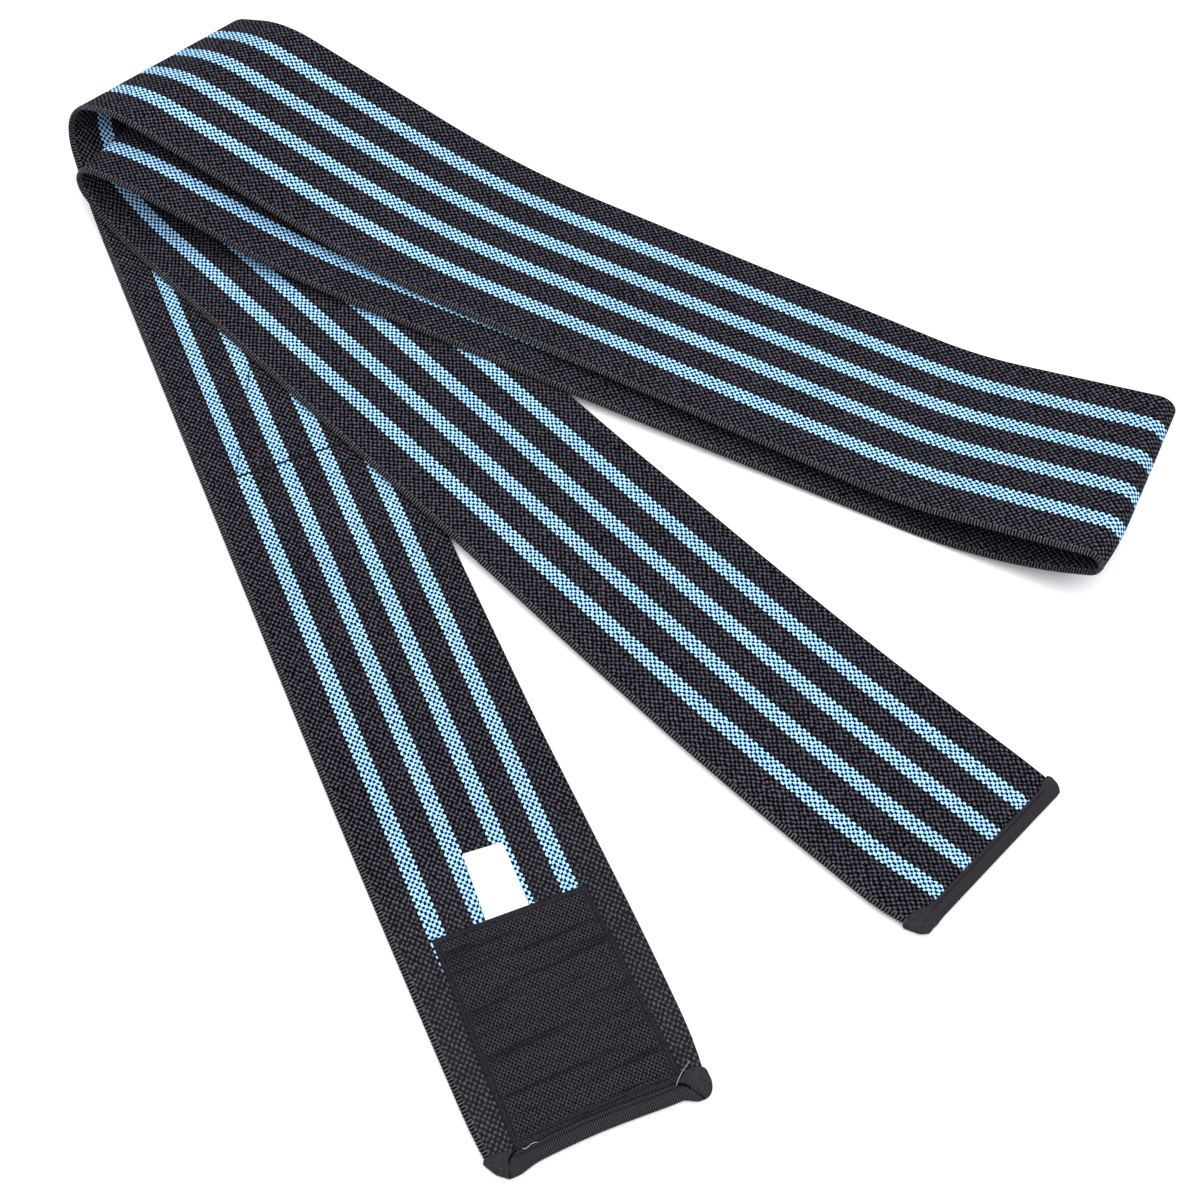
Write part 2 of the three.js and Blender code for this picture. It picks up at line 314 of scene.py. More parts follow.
def unroll_map(piece, stations, count):
    """Picture map of the band, its two faces cut into short rows that fill a square."""
    mesh = piece.data
    layer = mesh.uv_layers.new(name="OFBake")
    row_length = BAND_LENGTH / MAP_ROWS
    for polygon in mesh.polygons:
        if len(polygon.vertices) > 4:
            continue
        rings = [v // count for v in polygon.vertices]
        places = [v % count for v in polygon.vertices]
        row = min(int((stations[min(rings)] + stations[max(rings)]) / 2 / row_length), MAP_ROWS - 1)
        wraps = max(places) - min(places) > count // 2
        for loop, ring, place in zip(polygon.loop_indices, rings, places):
            if wraps and place < count // 2:
                place += count
            turned = (place + EDGE_STEPS // 2) / count
            u = (stations[ring] - row * row_length) / row_length
            v = (row + min(max(turned - (turned > 1.0), 0.0), 1.0)) / MAP_ROWS
            layer.data[loop].uv = (MAP_MARGIN + (1 - 2 * MAP_MARGIN) * u, v)


def cloth_material(name, roughness, sheen):
    """A new rough cloth material, its node tree and its shader."""
    material = bpy.data.materials.new(name)
    material.use_nodes = True
    shader = material.node_tree.nodes["Principled BSDF"]
    shader.inputs["Roughness"].default_value = roughness
    shader.inputs["Specular IOR Level"].default_value = CLOTH_SPECULAR
    shader.inputs["Sheen Weight"].default_value = sheen
    shader.inputs["Sheen Roughness"].default_value = SHEEN_ROUGHNESS
    return material, material.node_tree, shader


def feed(tree, socket, value):
    """Links a socket to another, or sets its value."""
    if isinstance(value, bpy.types.NodeSocket):
        tree.links.new(value, socket)
    else:
        socket.default_value = value


def calc(tree, operation, *values):
    """Result of one arithmetic step on sockets or numbers."""
    node = tree.nodes.new("ShaderNodeMath")
    node.operation = operation
    for socket, value in zip(node.inputs, values):
        feed(tree, socket, value)
    return node.outputs[0]


def fade(tree, value, low, high):
    """Smooth share that runs from 0 where the value is low to 1 where it is high."""
    node = tree.nodes.new("ShaderNodeMapRange")
    node.interpolation_type = "SMOOTHSTEP"
    for name, given in (("Value", value), ("From Min", low), ("From Max", high)):
        feed(tree, node.inputs[name], given)
    return node.outputs["Result"]


def dyed(tree, share, start, end):
    """Colour between two colours by a share."""
    node = tree.nodes.new("ShaderNodeMix")
    node.data_type = "RGBA"
    for socket, value in zip((node.inputs[0], node.inputs[6], node.inputs[7]), (share, start, end)):
        feed(tree, socket, value)
    return node.outputs[2]


def flat_place(tree):
    """Distances along, across and off the ribbed edge of the flat cloth, and all three as a vector."""
    node = tree.nodes.new("ShaderNodeAttribute")
    node.attribute_name = "weave"
    split = tree.nodes.new("ShaderNodeSeparateXYZ")
    tree.links.new(node.outputs["Vector"], split.inputs[0])
    return (*split.outputs, node.outputs["Vector"])


def mottle(tree, vector, size, detail=2.0):
    """Cloudy unevenness from 0 to 1 with patches of about this size."""
    node = tree.nodes.new("ShaderNodeTexNoise")
    node.inputs["Scale"].default_value = 1 / size
    node.inputs["Detail"].default_value = detail
    tree.links.new(vector, node.inputs["Vector"])
    return node.outputs["Fac"]


def lattice(tree, along, across, repeat, row):
    """Staggered weave, 1 on the crown of a thread and -1 in a hole between threads, and its rows."""
    wave = calc(tree, "COSINE", calc(tree, "MULTIPLY", along, 2 * math.pi / repeat))
    rows = calc(tree, "COSINE", calc(tree, "MULTIPLY", across, math.pi / row))
    return calc(tree, "MULTIPLY", wave, rows), rows


def raise_threads(tree, shader, height, distance, strength=1.0):
    """Bump of the threads."""
    node = tree.nodes.new("ShaderNodeBump")
    node.inputs["Strength"].default_value = strength
    node.inputs["Distance"].default_value = distance
    tree.links.new(height, node.inputs["Height"])
    tree.links.new(node.outputs["Normal"], shader.inputs["Normal"])


def webbing_material():
    """Charcoal and light blue weave with dark holes and scalloped stripe edges; its lighter charcoal flecks
    are partly painted glints, and shade is painted near black under the rib loops.
    """
    # charcoal is the lighter crown colour of the dark threads, partly a painted glint
    charcoal = (0.091, 0.089, 0.113, 1)
    charcoal_dull = (0.0125, 0.0122, 0.0182, 1)
    charcoal_hole = (0.0002, 0.0002, 0.0006, 1)
    sky = (0.41, 0.75, 1.0, 1)
    sky_dull = (0.035, 0.23, 0.76, 1)
    sky_hole = (0.0001, 0.005, 0.080, 1)
    sewn_charcoal = (0.032, 0.030, 0.033, 1)
    # Painted shade under and between the rib loops
    rib_painted_shade = (0.0040, 0.0039, 0.0050, 1)
    material, tree, shader = cloth_material("webbing", 0.9, 0.0)
    along, laid_across, off_ribs, place = flat_place(tree)
    gathered = calc(tree, "MULTIPLY", fade(tree, along, *GATHER_ALONG),
                    fade(tree, laid_across, *GATHER_ACROSS))
    across = calc(tree, "MULTIPLY_ADD", gathered, STRIPE_GATHER, laid_across)
    shifted = calc(tree, "ADD", calc(tree, "SUBTRACT", across, STRIPE_FIRST), WEAVE_ROW / 2)
    wander = calc(tree, "SUBTRACT", mottle(tree, place, WANDER_SIZE), 0.5)
    wandering = calc(tree, "MULTIPLY_ADD", wander, WANDER_REACH, along)
    weave, rows = lattice(tree, wandering, shifted, WEAVE_REPEAT, WEAVE_ROW)
    slit = calc(tree, "MULTIPLY", weave, calc(tree, "ABSOLUTE", rows))
    uneven = mottle(tree, place, FIBRE_SIZE)
    patchy = mottle(tree, place, PATCH_SIZE)
    fraying = calc(tree, "SUBTRACT", uneven, 0.5)
    frayed = calc(tree, "MULTIPLY_ADD", fraying, FRAY, weave)
    frayed_slit = calc(tree, "ADD", fraying, slit)

    from_first = calc(tree, "SUBTRACT", STRIPE_FIRST, across)
    nearest = calc(tree, "ROUND", calc(tree, "DIVIDE", from_first, STRIPE_PITCH))
    inside = calc(tree, "MINIMUM", calc(tree, "MAXIMUM", nearest, 0.0), STRIPE_COUNT - 1)
    off_centre = calc(tree, "ABSOLUTE", calc(tree, "SUBTRACT", from_first,
                                             calc(tree, "MULTIPLY", inside, STRIPE_PITCH)))
    scalloped = calc(tree, "MULTIPLY_ADD", weave, -STRIPE_SCALLOP, off_centre)
    stripe = fade(tree, scalloped, STRIPE_HALF_WIDTH + STRIPE_SOFTNESS, STRIPE_HALF_WIDTH - STRIPE_SOFTNESS)
    shown = calc(tree, "MULTIPLY", stripe, fade(tree, along, *STRIPE_START))

    # Lighter flecks on the crowns, partly painted glints
    fleck_and_glint = fade(tree, frayed, *FLECK_AND_GLINT_EDGE)
    pit = fade(tree, frayed_slit, *PIT_EDGE)
    crown = fade(tree, weave, *CROWN_EDGE)
    hole = fade(tree, slit, *HOLE_EDGE)
    open_weave = dyed(tree, pit, dyed(tree, fleck_and_glint, charcoal_dull, charcoal), charcoal_hole)
    sewn = calc(tree, "MULTIPLY", fade(tree, along, *SEWN_ALONG), SEWN_SHARE)
    dark = dyed(tree, sewn, open_weave, sewn_charcoal)
    light = dyed(tree, hole, dyed(tree, crown, sky_dull, sky), sky_hole)
    cloth = dyed(tree, shown, dark, light)
    # Paints shade near black under the rib loops along the ribbed edge
    ribbed = dyed(tree, fade(tree, off_ribs, *RIB_PAINTED_SHADE_EDGE), cloth, rib_painted_shade)
    worn = calc(tree, "MULTIPLY_ADD", patchy, WEAR, 1 - WEAR / 2)
    shade = tree.nodes.new("ShaderNodeVectorMath")
    shade.operation = "SCALE"
    tree.links.new(ribbed, shade.inputs[0])
    tree.links.new(worn, shade.inputs["Scale"])
    tree.links.new(shade.outputs[0], shader.inputs["Base Color"])
    raise_threads(tree, shader, calc(tree, "MULTIPLY_ADD", weave, 0.5, uneven), WEAVE_DEPTH)
    return material


band = band_piece()
band.data.materials.append(webbing_material())
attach(band, "root")
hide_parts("band")

# Ribbed selvedge
# Overcast loops of charcoal thread wrap one edge of the webbing along its whole length.
# They are woven in with the band, one loop to every half repeat of the weave.
RIB_PITCH = WEAVE_REPEAT / 2
RIB_REACH = RIBBED_SELVEDGE_WIDTH
RIB_HALF_THICKNESS = 0.00074
RIB_THREAD = 0.00022
RIB_SLANT = math.radians(14)
RIB_COLOUR = (0.125, 0.122, 0.136, 1)
RIB_SHADE = (0.060, 0.059, 0.067, 1)
THREAD_UNEVENNESS = (0.35, 0.65)
ARCH_POINTS = 7
ARCH_SIDES = 5


def unit(vectors):
    """Vectors of length one."""
    return vectors / np.linalg.norm(vectors, axis=-1, keepdims=True)


def directions(along, across):
    """Directions along the laid band, across it and off its upper face."""
    nudge = 0.0002
    ahead = unit(lay(along + nudge, across, 0.0) - lay(along - nudge, across, 0.0))
    aside = unit(lay(along, across + nudge, 0.0) - lay(along, across - nudge, 0.0))
    return ahead, aside, unit(np.cross(ahead, aside))


def arch_tree():
    """Geometry nodes that set one arched thread on every point, turned by the point's turn."""
    tree = bpy.data.node_groups.new("arched_threads", "GeometryNodeTree")
    sockets = tree.interface
    sockets.new_socket("Geometry", in_out="INPUT", socket_type="NodeSocketGeometry")
    for name in ("Half Length", "Rise", "Thread Radius"):
        sockets.new_socket(name, in_out="INPUT", socket_type="NodeSocketFloat")
    sockets.new_socket("Thread", in_out="INPUT", socket_type="NodeSocketMaterial")
    sockets.new_socket("Geometry", in_out="OUTPUT", socket_type="NodeSocketGeometry")

    def add(kind, **values):
        node = tree.nodes.new(kind)
        for name, value in values.items():
            feed(tree, node.inputs[name.replace("_", " ")], value)
        return node

    given = tree.nodes.new("NodeGroupInput").outputs
    arc = add("GeometryNodeCurveArc", Resolution=ARCH_POINTS, Radius=1.0, Start_Angle=0.0,
              Sweep_Angle=math.pi)
    size = add("ShaderNodeCombineXYZ", X=given["Half Length"], Y=given["Rise"], Z=1.0)
    stand = add("GeometryNodeTransform", Geometry=arc.outputs["Curve"], Scale=size.outputs[0],
                Rotation=(math.pi / 2, 0.0, 0.0))
    strand = add("GeometryNodeCurvePrimitiveCircle", Resolution=ARCH_SIDES, Radius=given["Thread Radius"])
    thread = add("GeometryNodeCurveToMesh", Curve=stand.outputs[0], Profile_Curve=strand.outputs["Curve"],
                 Fill_Caps=True)
    turn = add("GeometryNodeInputNamedAttribute", Name="turn")
    turn.data_type = "FLOAT_VECTOR"
    copies = add("GeometryNodeInstanceOnPoints", Points=given["Geometry"], Instance=thread.outputs[0])
    tree.links.new(turn.outputs["Attribute"], copies.inputs["Rotation"])
    real = add("GeometryNodeRealizeInstances", Geometry=copies.outputs[0])
    smooth = add("GeometryNodeSetShadeSmooth", Geometry=real.outputs[0])
    finish = add("GeometryNodeSetMaterial", Geometry=smooth.outputs[0], Material=given["Thread"])
    out = tree.nodes.new("NodeGroupOutput")
    tree.links.new(finish.outputs[0], out.inputs[0])
    return tree


ARCH_TREE = arch_tree()


def arched_threads(name, points, lengthwise, upright, half_length, rise, radius, material):
    """One mesh of arched threads: each spans its lengthwise direction and rises along the upright one."""
    upright = unit(upright)
    side = unit(np.cross(upright, lengthwise))
    lengthwise = np.cross(side, upright)
    turns = [Matrix(np.stack(axes, axis=1)).to_euler() for axes in zip(lengthwise, side, upright)]
    seeds = bpy.data.meshes.new(name + "_seeds")
    seeds.from_pydata(points.tolist(), [], [])
    layer = seeds.attributes.new("turn", "FLOAT_VECTOR", "POINT")
    layer.data.foreach_set("vector", np.array([tuple(t) for t in turns], np.float32).ravel())
    piece = bpy.data.objects.new(name, seeds)
    bpy.context.scene.collection.objects.link(piece)
    modifier = piece.modifiers.new("threads", "NODES")
    modifier.node_group = ARCH_TREE
    values = {"Half Length": half_length, "Rise": rise, "Thread Radius": radius, "Thread": material}
    for item in ARCH_TREE.interface.items_tree:
        if item.in_out == "INPUT" and item.name in values:
            modifier[item.identifier] = values[item.name]
    seen = piece.evaluated_get(bpy.context.evaluated_depsgraph_get())
    mesh = bpy.data.meshes.new_from_object(seen)
    mesh.name = name
    piece.modifiers.clear()
    piece.data = mesh
    return piece


def thread_material(name, colour, shade_colour, roughness=0.8):
    """Spun thread, a little uneven in tone."""
    material, tree, shader = cloth_material(name, roughness, 0.0)
    place = tree.nodes.new("ShaderNodeTexCoord").outputs["Object"]
    tone = fade(tree, mottle(tree, place, FIBRE_SIZE), *THREAD_UNEVENNESS)
    tree.links.new(dyed(tree, tone, shade_colour, colour), shader.inputs["Base Color"])
    return material


rib_along = np.arange(TAPE_DEPTH, BAND_LENGTH - TAPE_DEPTH, RIB_PITCH)
rib_across = half_width(rib_along, RIBBED_SIDE) - RIB_REACH
rib_ahead, rib_aside, rib_up = directions(rib_along, rib_across)
rib_legs = rib_up * math.cos(RIB_SLANT) + rib_ahead * math.sin(RIB_SLANT)
charcoal_thread = thread_material("charcoal_thread", RIB_COLOUR, RIB_SHADE)
selvedge = arched_threads("ribbed_selvedge", lay(rib_along, rib_across, 0.0), rib_legs, rib_aside,
                          RIB_HALF_THICKNESS, RIB_REACH, RIB_THREAD, charcoal_thread)
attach(selvedge, "root")

# Hook panel
# A rectangle of fine hooked tape, near black, sewn flat on the upper face at the fastener end.
# Rolling the wrap has pressed shallow creases across it, and shade is painted dark in its transverse
# wrinkles.
HOOK_PANEL = {"low": 0.0044, "high": 0.0801, "low_slope": math.tan(FASTENER_LEAN), "high_slope": 0.0594,
              "low_bow": 1.0, "ribbed_low": 0.0268, "ribbed_high": 0.0257,
              "plain_low": 0.0330, "plain_high": 0.0306}
HOOK_STEPS = (110, 60)
HOOK_THICKNESS = 0.0014
HOOK_CREASE_PITCH = 0.0092
HOOK_CREASE_DEPTH = 0.00022
HOOK_CREASE_SLANT = 0.05
HOOK_CREASE_INSET = 0.006
HOOK_WEAVE_REPEAT = 0.0017
HOOK_WEAVE_ROW = 0.00076
HOOK_WRINKLE_SIZE = 0.0034
HOOK_WRINKLE_STRETCH = (1.0, 0.045, 0.0)
# The wrinkles' bump is real; their darkening is painted shade
HOOK_WRINKLE_SHADE_EDGE = (0.50, 0.36)
HOOK_WRINKLE_SHADE_SHARE = 0.70
HOOK_HEM = (0.0034, 0.0022)
HOOK_HEM_SHARE = 0.7
TAPE_FIBRE_SIZE = 0.0012
PANEL_SEAT = BAND_THICKNESS / 2 + SEAT_GAP
PANEL_EDGE_WIDTH = 0.0022
PANEL_EDGE_SHARE = 0.3


def panel_place(panel, share_along, share_across):
    """Distances along and across the band, from shares of a panel's length and width."""
    ribbed = panel["ribbed_low"] + (panel["ribbed_high"] - panel["ribbed_low"]) * share_along
    plain = panel["plain_low"] + (panel["plain_high"] - panel["plain_low"]) * share_along
    across = ribbed - (ribbed + plain) * share_across
    low = panel["low"] + across * panel["low_slope"] + panel["low_bow"] * end_bow(across)
    high = panel["high"] + across * panel["high_slope"]
    return low + (high - low) * share_along, across


def panel_piece(name, panel, steps, top, side=1):
    """Closed panel on one face of the band; top gives its free face's height from the flat place."""
    share_along, share_across = np.meshgrid(*(np.linspace(0, 1, n + 1) for n in steps), indexing="ij")
    along, across = panel_place(panel, share_along, share_across)
    length = panel["high"] - panel["low"]
    width = panel["ribbed_low"] + panel["plain_low"]
    inset = np.minimum(np.minimum(share_along, 1 - share_along) * length,
                       np.minimum(share_across, 1 - share_across) * width)
    free = lay(along, across, side * top(along, across, inset))
    seat = lay(along, across, side * PANEL_SEAT)
    rows, columns = along.shape
    count = rows * columns
    corner = np.arange(count).reshape(rows, columns)
    faces = []
    for i in range(rows - 1):
        for j in range(columns - 1):
            quad = (corner[i, j], corner[i, j + 1], corner[i + 1, j + 1], corner[i + 1, j])
            faces.append(tuple(int(v) for v in quad))
            faces.append(tuple(int(v) + count for v in reversed(quad)))
    rim = [*corner[0, :], *corner[1:, -1], *corner[-1, -2::-1], *corner[-2:0:-1, 0]]
    for a, b in zip(rim, rim[1:] + rim[:1]):
        faces.append((int(b), int(a), int(a) + count, int(b) + count))
    mesh = bpy.data.meshes.new(name)
    mesh.from_pydata([*free.reshape(-1, 3).tolist(), *seat.reshape(-1, 3).tolist()], [], faces)
    layer = mesh.attributes.new("weave", "FLOAT_VECTOR", "POINT")
    place = np.stack([along.ravel(), across.ravel(), inset.ravel()], axis=1)
    layer.data.foreach_set("vector", np.vstack([place, place]).astype(np.float32).ravel())
    face_out(mesh)
    piece = bpy.data.objects.new(name, mesh)
    bpy.context.scene.collection.objects.link(piece)
    return piece


def pressed_edge(inset, thickness):
    """Thickness of a panel that its seam presses down along its rim."""
    rise = np.clip(inset / PANEL_EDGE_WIDTH, 0, 1)
    return thickness * (PANEL_EDGE_SHARE + (1 - PANEL_EDGE_SHARE) * np.sin(rise * math.pi / 2))


def hook_top(along, across, inset):
    """Height of the hook panel's free face, with its creases."""
    crease = np.cos(2 * math.pi * (along + HOOK_CREASE_SLANT * across) / HOOK_CREASE_PITCH)
    sharp = np.clip(crease, 0, 1) ** 4
    fade_in = np.clip(inset / HOOK_CREASE_INSET, 0, 1)
    return PANEL_SEAT + pressed_edge(inset, HOOK_THICKNESS) - HOOK_CREASE_DEPTH * sharp * fade_in


def hook_tape_material():
    """Fine near black tape in close transverse rows, pressed smooth along its rim and creased across, with
    shade painted dark in its wrinkles.
    """
    tape_hole = (0.0016, 0.0015, 0.0022, 1)
    tape_crown = (0.047, 0.043, 0.054, 1)
    hem_hole = (0.006, 0.0055, 0.008, 1)
    hem_crown = (0.030, 0.028, 0.034, 1)
    # Painted shade colour for the wrinkles
    wrinkle_painted_shade = (0.0050, 0.0046, 0.0062, 1)
    material, tree, shader = cloth_material("hook_tape", 0.85, 0.0)
    along, across, inset, place = flat_place(tree)
    weave = lattice(tree, along, across, HOOK_WEAVE_REPEAT, HOOK_WEAVE_ROW)[0]
    uneven = mottle(tree, place, TAPE_FIBRE_SIZE)
    stretch = tree.nodes.new("ShaderNodeVectorMath")
    stretch.operation = "MULTIPLY"
    stretch.inputs[1].default_value = HOOK_WRINKLE_STRETCH
    tree.links.new(place, stretch.inputs[0])
    wrinkles = mottle(tree, stretch.outputs[0], HOOK_WRINKLE_SIZE, 3.0)
    hemmed = calc(tree, "MULTIPLY", fade(tree, inset, *HOOK_HEM), HOOK_HEM_SHARE)
    frayed = calc(tree, "MULTIPLY_ADD", calc(tree, "SUBTRACT", uneven, 0.5), 1.1, weave)
    crown = fade(tree, frayed, -0.45, 0.75)
    cloth = dyed(tree, crown, tape_hole, tape_crown)
    hem = dyed(tree, uneven, hem_hole, hem_crown)
    # Paints shade dark in the wrinkles
    wrinkle_shade_share = calc(tree, "MULTIPLY", fade(tree, wrinkles, *HOOK_WRINKLE_SHADE_EDGE), HOOK_WRINKLE_SHADE_SHARE)
    pressed = dyed(tree, wrinkle_shade_share, cloth, wrinkle_painted_shade)
    tree.links.new(dyed(tree, hemmed, pressed, hem), shader.inputs["Base Color"])
    height = calc(tree, "MULTIPLY_ADD", weave, 0.35, wrinkles)
    raise_threads(tree, shader, height, 0.00030)
    return material


hook_panel = panel_piece("hook_panel_cloth", HOOK_PANEL, HOOK_STEPS, hook_top)
hook_panel.data.materials.append(hook_tape_material())
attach(hook_panel, "root")
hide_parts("hook_panel")

# Hook rows
# Small nylon hooks stand in close rows on the panel, the part that grips when the wrap is fastened.
# They are woven through the tape.
HOOK_ROWS = 54
HOOKS_IN_ROW = 42
HOOK_MARGIN_ALONG = 0.04
HOOK_MARGIN_ACROSS = 0.06
HOOK_HALF_LENGTH = 0.00036
HOOK_RISE = 0.00034
HOOK_WIRE = 0.00011
HOOK_COLOUR = (0.066, 0.061, 0.074, 1)
HOOK_SHADE = (0.009, 0.0085, 0.011, 1)

row_shares = np.linspace(HOOK_MARGIN_ALONG, 1 - HOOK_MARGIN_ALONG, HOOK_ROWS)
place_shares = np.linspace(HOOK_MARGIN_ACROSS, 1 - HOOK_MARGIN_ACROSS, HOOKS_IN_ROW)
hook_shares = np.meshgrid(row_shares, place_shares, indexing="ij")
hook_shares[1][::2] += (1 - 2 * HOOK_MARGIN_ACROSS) / HOOKS_IN_ROW / 2
hook_along, hook_across = panel_place(HOOK_PANEL, hook_shares[0].ravel(), hook_shares[1].ravel())
hook_height = hook_top(hook_along, hook_across, np.full(hook_along.size, HOOK_CREASE_INSET))
hook_aside, hook_up = directions(hook_along, hook_across)[1:]
hook_nylon = thread_material("hook_nylon", HOOK_COLOUR, HOOK_SHADE, 0.55)
hook_rows = arched_threads("hook_rows", lay(hook_along, hook_across, hook_height), hook_aside, hook_up,
                           HOOK_HALF_LENGTH, HOOK_RISE, HOOK_WIRE, hook_nylon)
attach(hook_rows, "root")

# Loop panel
# A longer rectangle of soft looped pile under the same run, where the hooks catch when it is worn.
# It is sewn through the webbing, so its seam shows on the upper face.
LOOP_PANEL = {"low": 0.2855, "high": 0.408, "low_slope": 0.05, "high_slope": 0.0, "low_bow": 0.0,
              "ribbed_low": 0.028, "ribbed_high": 0.028, "plain_low": 0.028, "plain_high": 0.028}
LOOP_STEPS = (60, 36)
LOOP_THICKNESS = 0.0012
LOOP_PILE_SIZE = 0.0009
LOOP_PILE_DEPTH = 0.0005
LOOP_COLOUR = (0.045, 0.042, 0.052, 1)
LOOP_SHADE = (0.006, 0.006, 0.008, 1)


def loop_top(along, across, inset):
    """Height of the loop panel's free face, flattened by the table."""
    return PANEL_SEAT + pressed_edge(inset, LOOP_THICKNESS)


def loop_pile_material():
    """Soft near black pile of tangled loops."""
    material, tree, shader = cloth_material("loop_pile", 0.95, 0.1)
    place = flat_place(tree)[3]
    tangle = mottle(tree, place, LOOP_PILE_SIZE, 4.0)
    pile = dyed(tree, fade(tree, tangle, 0.35, 0.7), LOOP_SHADE, LOOP_COLOUR)
    tree.links.new(pile, shader.inputs["Base Color"])
    raise_threads(tree, shader, tangle, LOOP_PILE_DEPTH)
    return material


loop_panel = panel_piece("loop_panel_cloth", LOOP_PANEL, LOOP_STEPS, loop_top, -1)
loop_panel.data.materials.append(loop_pile_material())
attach(loop_panel, "root")
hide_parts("loop_panel")

# Seams
# Lockstitch in black thread: round the hook panel, and a box with crossed diagonals for the loop panel.
# The second seam goes through the band and shows on its upper face.
STITCH_PITCH = 0.0027
STITCH_HALF_LENGTH = 0.00115
STITCH_RISE = 0.00022
STITCH_THREAD = 0.00022
PULLED_HALF_LENGTH = 0.00140
PULLED_THREAD = 0.00040
SEAM_INSET = 0.03
LOOP_SEAM_NEAR = 0.014
HOOK_SEAM_HEIGHT = PANEL_SEAT + HOOK_THICKNESS * 0.92
STITCH_COLOUR = (0.016, 0.015, 0.018, 1)
STITCH_SHADE = (0.005, 0.005, 0.006, 1)


def seam_box(near):
    """Corners of a box seam as shares of a panel's length and width, from this near edge."""
    far = 1 - SEAM_INSET
    return [(near, SEAM_INSET), (far, SEAM_INSET), (far, far), (near, far), (near, SEAM_INSET)]


def seam(corners):
    """Places and headings of the stitches along a line of straight seams on the flat band."""
    along, across, heading = [], [], []
    for (a0, c0), (a1, c1) in zip(corners, corners[1:]):
        steps = max(int(math.hypot(a1 - a0, c1 - c0) / STITCH_PITCH), 1)
        share = (np.arange(steps) + 0.5) / steps
        along.append(a0 + (a1 - a0) * share)
        across.append(c0 + (c1 - c0) * share)
        heading.append(np.full(steps, math.atan2(c1 - c0, a1 - a0)))
    return np.concatenate(along), np.concatenate(across), np.concatenate(heading)


def stitched(name, corners, height, half_length, thread, material):
    """A run of stitches lying on a face at this height off the band's middle surface."""
    along, across, heading = seam(corners)
    ahead, aside, up = directions(along, across)
    lengthwise = ahead * np.cos(heading)[:, None] + aside * np.sin(heading)[:, None]
    piece = arched_threads(name, lay(along, across, height), lengthwise, up, half_length,
                           STITCH_RISE, thread, material)
    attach(piece, "root")
    return piece


black_thread = thread_material("black_thread", STITCH_COLOUR, STITCH_SHADE, 0.7)
hook_corners = [panel_place(HOOK_PANEL, *share) for share in seam_box(SEAM_INSET)]
hook_seam = stitched("hook_panel_seam", hook_corners, HOOK_SEAM_HEIGHT, STITCH_HALF_LENGTH, STITCH_THREAD,
                     black_thread)
loop_corners = [panel_place(LOOP_PANEL, *share) for share in seam_box(LOOP_SEAM_NEAR)]
loop_diagonals = {"loop_panel_diagonal": (loop_corners[0], loop_corners[2]),
                  "loop_panel_counter_diagonal": (loop_corners[3], loop_corners[1])}
loop_seams = [stitched("loop_panel_seam", loop_corners, BAND_THICKNESS / 2, PULLED_HALF_LENGTH,
                       PULLED_THREAD, black_thread)]
for name, corners in loop_diagonals.items():
    loop_seams.append(stitched(name, corners, BAND_THICKNESS / 2, STITCH_HALF_LENGTH, STITCH_THREAD,
                               black_thread))

# End bindings
# Ribbed charcoal tape folded over each raw end and sewn down, its own ends tucked in as small ears.
# The ribs run round the fold; the ears are smooth.
TAPE_RIB_PITCH = 0.00075
TAPE_RIB_HEIGHT = 0.00012
TAPE_RIB_STEPS = 6
TAPE_SEAM_DEPTH = 0.0028
TAPE_SEAM_SINK = 0.00025
TAPE_SEAM_WIDTH = 0.0003
TAPE_NOSE = 0.0010
TAPE_RIM = 0.0004
TAPE_FLANK_GAP = 0.0003
TAPE_FLANK_STEPS = 13
TAPE_TIP_TRIM = 0.0002
TAPE_FIBRE_DEPTH = 0.0001
EAR_CREASE_DEPTH = 0.0006
EAR_CREASE_WIDTH = 0.0005
# Each ear, measured inwards from the tape's tip: where it starts and is full, its longer depth, its nose
# and where that starts, its height, how its tip narrows, its slant, and where its crease lies
FASTENER_EARS = {
    "plain": {"start": 0.0120, "full": 0.0060, "depth": 0.0026, "nose": 0.0022, "nose_start": 0.0120,
              "height": 0.0010, "narrow": 0.0046, "tip": 0.12, "bow": 2.0, "slant": 0.0,
              "crease_nose": 0.0068, "crease_inner": 0.0118},
    "ribbed": {"start": 0.0118, "full": 0.0060, "depth": 0.0019, "nose": 0.0014, "nose_start": 0.0190,
               "height": 0.0005, "narrow": 0.0022, "tip": 0.50, "bow": 1.0, "slant": 0.0024,
               "crease_nose": 0.0050, "crease_inner": 0.0112},
}
PLAIN_EARS = {
    "plain": {"start": 0.0090, "full": 0.0030, "depth": 0.0014, "nose": 0.0, "nose_start": 0.0090,
              "height": 0.0002, "narrow": 0.0018, "tip": 0.40, "bow": 1.3, "slant": -0.0010,
              "crease_nose": 0.0030, "crease_inner": 0.0060},
    "ribbed": {"start": 0.0125, "full": 0.0055, "depth": 0.0026, "nose": 0.0004, "nose_start": 0.0120,
               "height": 0.0003, "narrow": 0.0013, "tip": 0.66, "bow": 1.0, "slant": 0.0016,
               "crease_nose": 0.0056, "crease_inner": 0.0100},
}
EAR_OVERHANG = 0.0014
EAR_SLANT_REACH = 0.018
EAR_SLANT_PIVOT = 1.1
EAR_NOSE_END = 0.002
EAR_NOSE_REACH = 0.0035
EAR_HEIGHT_REACH = 0.0023
EAR_CLOSED_SHARE = 0.06


